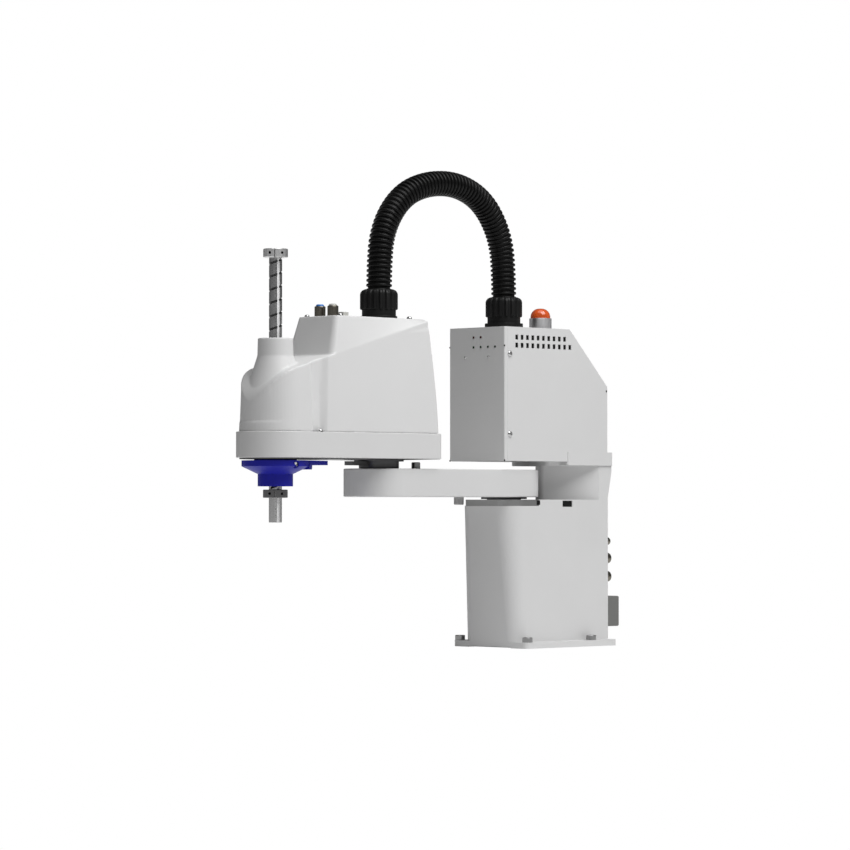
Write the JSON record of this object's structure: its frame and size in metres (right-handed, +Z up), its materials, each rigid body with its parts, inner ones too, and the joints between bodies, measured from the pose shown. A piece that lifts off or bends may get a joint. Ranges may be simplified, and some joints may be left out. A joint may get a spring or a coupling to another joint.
{
  "type": "scara robot",
  "caption": "Four-axis SCARA robot with folding arms, a lifting and turning ball screw spline shaft, an external cable hose and its controller box on the base.",
  "frame": {"origin": "first arm's axis on the mounting surface, at the underside of the foot plate", "axes": "+X along the outstretched arms, +Y the robot's side seen first in the picture, +Z up"},
  "size_m": [0.6216, 0.132, 0.606],
  "materials": {
    "pale_paint": "satin",
    "pale_plastic": "satin",
    "blue_plastic": "satin",
    "black_plastic": "matte",
    "hose_black": "ribbed, satin",
    "white_plastic": "gloss",
    "ring_blue": "gloss",
    "shaft_steel": "ground",
    "dark_steel": "dark phosphate",
    "pin_steel": "turned",
    "nickel_brass": "nickel plated",
    "grey_sheet": "satin",
    "machined_aluminium": "machined",
    "motor_black": "satin",
    "gear_steel": "machined",
    "belt_rubber": "matte",
    "board_green": "satin",
    "lamp_grey": "satin",
    "lamp_orange": "translucent gloss",
    "led_red": "gloss",
    "led_green": "gloss"
  },
  "bodies": {
    "base": {"base_casting": "pale_paint", "rear_panel": "grey_sheet", "rear_air_fittings": "nickel_brass", "rear_release_rings": "white_plastic", "power_inlet": "black_plastic", "joint_one_reducer": "gear_steel", "joint_one_motor": "motor_black", "controller_chassis": "pale_paint", "controller_cover_left": "pale_paint", "controller_cover_right": "pale_paint", "controller_screws": "pin_steel", "status_lights_red": "led_red", "status_lights_green": "led_green", "port_plate": "grey_sheet", "controller_ports": "black_plastic", "power_supply": "grey_sheet", "drive_board": "board_green", "control_board": "board_green", "signal_lamp_base": "lamp_grey", "signal_lamp_dome": "lamp_orange", "base_user_connector": "black_plastic", "base_gland_body": "black_plastic", "base_gland_nut": "black_plastic"},
    "arm_1": {"arm_one_casting": "pale_paint", "joint_one_stop_pin": "pin_steel", "joint_two_stop_pins": "pin_steel", "joint_two_output_shaft": "dark_steel", "joint_one_output_flange": "dark_steel", "cable_hose": "hose_black"},
    "arm_2": {"joint_two_collar": "dark_steel", "arm_two_bottom_plate": "dark_steel", "arm_two_casting": "pale_paint", "arm_two_cover": "pale_plastic", "arm_gland_body": "black_plastic", "arm_gland_nut": "black_plastic", "joint_two_reducer": "gear_steel", "joint_two_motor": "motor_black", "spline_nut_bearing": "gear_steel", "ball_screw_bearing": "gear_steel", "spin_belt": "belt_rubber", "lift_belt": "belt_rubber", "motor_bridge": "machined_aluminium", "lift_motor_riser": "machined_aluminium", "spin_motor": "motor_black", "lift_motor": "motor_black", "spline_cap": "blue_plastic", "spline_cap_screws": "pin_steel", "top_air_fittings": "nickel_brass", "release_ring_blue": "ring_blue", "release_ring_white": "white_plastic", "top_user_connector": "white_plastic", "cover_screws": "pin_steel"},
    "spline_nut": {"spline_nut": "gear_steel"},
    "shaft": {"spline_shaft": "shaft_steel", "upper_stop_collar": "shaft_steel", "lower_stop_collar": "shaft_steel"},
    "ball_nut": {"ball_screw_nut": "gear_steel"},
    "spin_pulley": {"spin_motor_pulley": "machined_aluminium"},
    "lift_pulley": {"lift_motor_pulley": "machined_aluminium"}
  },
  "joints": [
    {"name": "arm_one_turn", "type": "hinge", "parent": "base", "child": "arm_1", "pos_m": [0, 0, 0.19], "axis": [0, 0, 1], "range_deg": [-132, 132]},
    {"name": "arm_two_turn", "type": "hinge", "parent": "arm_1", "child": "arm_2", "pos_m": [0.225, 0, 0.235], "axis": [0, 0, 1], "range_deg": [-105, 105]},
    {"name": "shaft_turn", "type": "hinge", "parent": "arm_2", "child": "spline_nut", "pos_m": [0.4, 0, 0.25], "axis": [0, 0, 1], "range_deg": [-360, 360]},
    {"name": "shaft_lift", "type": "slide", "parent": "spline_nut", "child": "shaft", "axis": [0, 0, 1], "range_m": [-0.15, 0]},
    {"name": "ball_nut_turn", "type": "hinge", "parent": "spline_nut", "child": "ball_nut", "pos_m": [0.4, 0, 0.3], "axis": [0, 0, 1], "range_deg": [0, 3376]},
    {"name": "spin_pulley_turn", "type": "hinge", "parent": "arm_2", "child": "spin_pulley", "pos_m": [0.314, 0.0186, 0.2755], "axis": [0, 0, 1], "range_deg": [-691, 691]},
    {"name": "lift_pulley_turn", "type": "hinge", "parent": "arm_2", "child": "lift_pulley", "pos_m": [0.314, -0.0186, 0.3025], "axis": [0, 0, 1], "range_deg": [0, 6471]}
  ],
  "couplings": [
    {"joint": "ball_nut_turn", "follows": "shaft_lift", "rad_per_m": -392.7},
    {"joint": "lift_pulley_turn", "follows": "shaft_lift", "rad_per_m": -752.67},
    {"joint": "spin_pulley_turn", "follows": "shaft_turn", "ratio": 1.9167}
  ]
}
